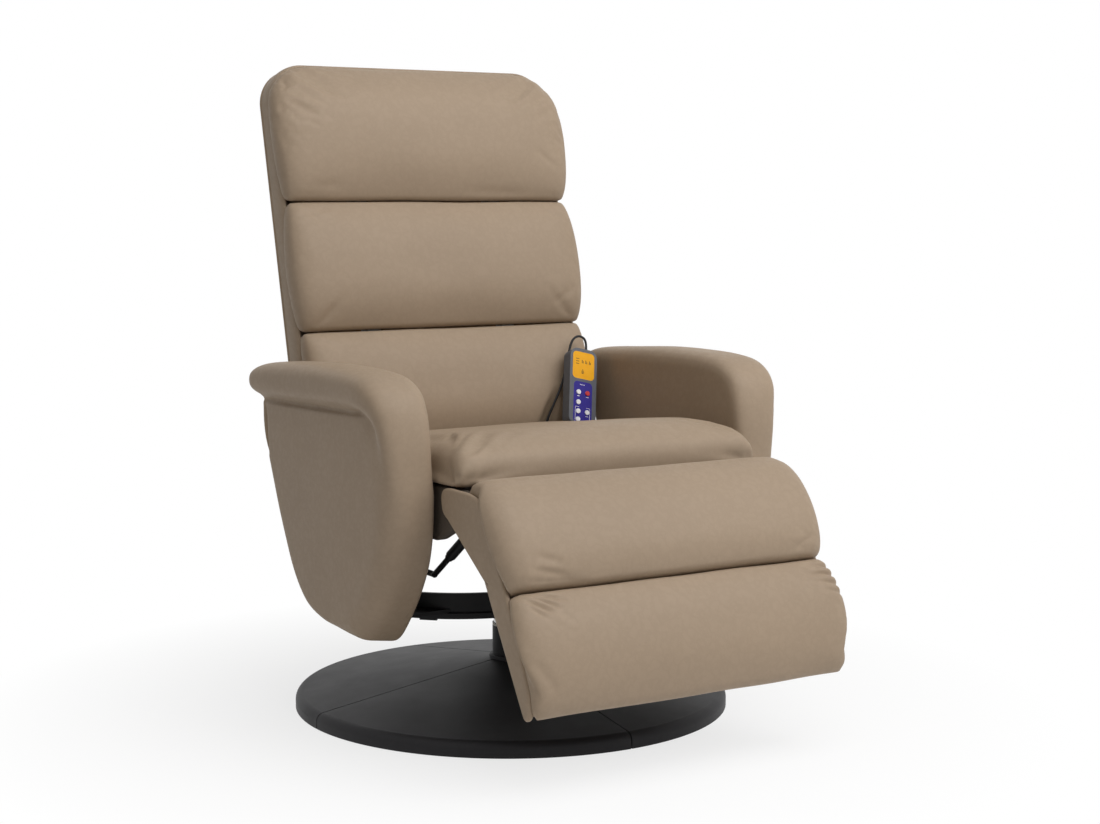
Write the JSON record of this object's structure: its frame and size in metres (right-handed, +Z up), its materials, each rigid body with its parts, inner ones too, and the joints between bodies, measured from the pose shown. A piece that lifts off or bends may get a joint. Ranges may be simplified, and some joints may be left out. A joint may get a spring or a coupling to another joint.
{
  "type": "massage recliner",
  "caption": "Swivel massage recliner on a round pedestal base, with a reclining padded back, padded arms, an attached curved leg rest and a corded handset.",
  "frame": {"origin": "on the floor under the swivel axis, at the centre of the round base", "axes": "+Z up, the sitter faces -Y, +X to the sitter's left"},
  "size_m": [0.7286, 0.8903, 1.026],
  "materials": {
    "leather": "soft satin grain",
    "base_cover": "fine satin texture",
    "black_steel": "satin powder coat",
    "bright_steel": "zinc plated",
    "bush_plastic": "moulded",
    "rubber": "matte",
    "board": "raw plywood",
    "webbing": "woven elastic",
    "handset_grey": "moulded satin",
    "amber_window": "clear amber",
    "keypad_blue": "printed film",
    "circuit_board": "solder mask",
    "button_white": "moulded",
    "button_red": "moulded"
  },
  "bodies": {
    "base": {"base_plate": "black_steel", "base_feet": "rubber", "base_cover_front_left": "base_cover", "base_cover_front_right": "base_cover", "base_cover_rear_left": "base_cover", "base_cover_rear_right": "base_cover", "base_cover_screws": "bright_steel", "column_tube": "black_steel", "column_bolts": "bright_steel", "column_collar": "base_cover", "column_bushes": "bush_plastic", "thrust_washer": "bush_plastic"},
    "seat": {"swivel_plate": "black_steel", "chassis_rails": "black_steel", "hoop_frame": "black_steel", "arm_bars": "black_steel", "side_plates": "black_steel", "swivel_spindle": "bright_steel", "arm_bolts": "bright_steel", "pivot_pins": "bright_steel", "seat_motors": "bright_steel", "control_box": "bush_plastic", "power_inlet": "bush_plastic", "cord_grommet": "rubber", "strain_relief": "rubber", "handset_cord": "rubber", "seat_cross_boards": "board", "seat_motor_rail": "board", "seat_webbing": "webbing", "seat_cushion": "leather", "seat_side_boards": "leather", "arm_panel_left": "leather", "arm_panel_right": "leather", "arm_roll_left": "leather", "arm_roll_right": "leather", "side_pocket": "leather", "handset_rear_shell": "handset_grey", "handset_front_shell": "handset_grey", "handset_window": "amber_window", "handset_keypad": "keypad_blue", "handset_board": "circuit_board"},
    "backrest": {"back_shell": "leather", "back_uprights": "board", "back_rails": "board", "back_motors": "bright_steel", "lumbar_pad": "leather", "middle_pad": "leather", "head_pad": "leather", "back_cranks": "black_steel"},
    "leg_rest": {"leg_board": "leather", "leg_levers": "black_steel", "leg_pad_upper": "leather", "leg_pad_lower": "leather"},
    "push_rods": {"push_rods": "black_steel"},
    "button_program_1": {"button_program_1": "button_white"},
    "button_program_2": {"button_program_2": "button_white"},
    "button_program_3": {"button_program_3": "button_white"},
    "button_program_4": {"button_program_4": "button_white"},
    "button_power": {"button_power": "button_red"},
    "button_heat": {"button_heat": "button_white"}
  },
  "joints": [
    {"name": "swivel", "type": "hinge", "parent": "base", "child": "seat", "pos_m": [0, 0, 0.125], "axis": [0, 0, 1], "continuous": true},
    {"name": "recline", "type": "hinge", "parent": "seat", "child": "backrest", "pos_m": [0, 0.16, 0.38], "axis": [-1, 0, 0], "range_deg": [0, 25]},
    {"name": "leg_lift", "type": "hinge", "parent": "seat", "child": "leg_rest", "pos_m": [0, -0.345, 0.372], "axis": [-1, 0, 0], "range_deg": [0, 47.5]},
    {"name": "rod_swing", "type": "hinge", "parent": "backrest", "child": "push_rods", "pos_m": [0, 0.15, 0.254], "axis": [1, 0, 0], "range_deg": [0, 27.39]},
    {"name": "press_program_1", "type": "slide", "parent": "seat", "child": "button_program_1", "axis": [0, 0.9397, -0.342], "range_m": [0, 0.001], "stiffness_N_per_m": 400},
    {"name": "press_program_2", "type": "slide", "parent": "seat", "child": "button_program_2", "axis": [0, 0.9397, -0.342], "range_m": [0, 0.001], "stiffness_N_per_m": 400},
    {"name": "press_program_3", "type": "slide", "parent": "seat", "child": "button_program_3", "axis": [0, 0.9397, -0.342], "range_m": [0, 0.001], "stiffness_N_per_m": 400},
    {"name": "press_program_4", "type": "slide", "parent": "seat", "child": "button_program_4", "axis": [0, 0.9397, -0.342], "range_m": [0, 0.001], "stiffness_N_per_m": 400},
    {"name": "press_power", "type": "slide", "parent": "seat", "child": "button_power", "axis": [0, 0.9397, -0.342], "range_m": [0, 0.001], "stiffness_N_per_m": 400},
    {"name": "press_heat", "type": "slide", "parent": "seat", "child": "button_heat", "axis": [0, 0.9397, -0.342], "range_m": [0, 0.001], "stiffness_N_per_m": 400}
  ],
  "couplings": [
    {"joint": "leg_lift", "follows": "recline", "ratio": 1.9},
    {"joint": "rod_swing", "follows": "recline", "ratio": 1.0956}
  ]
}
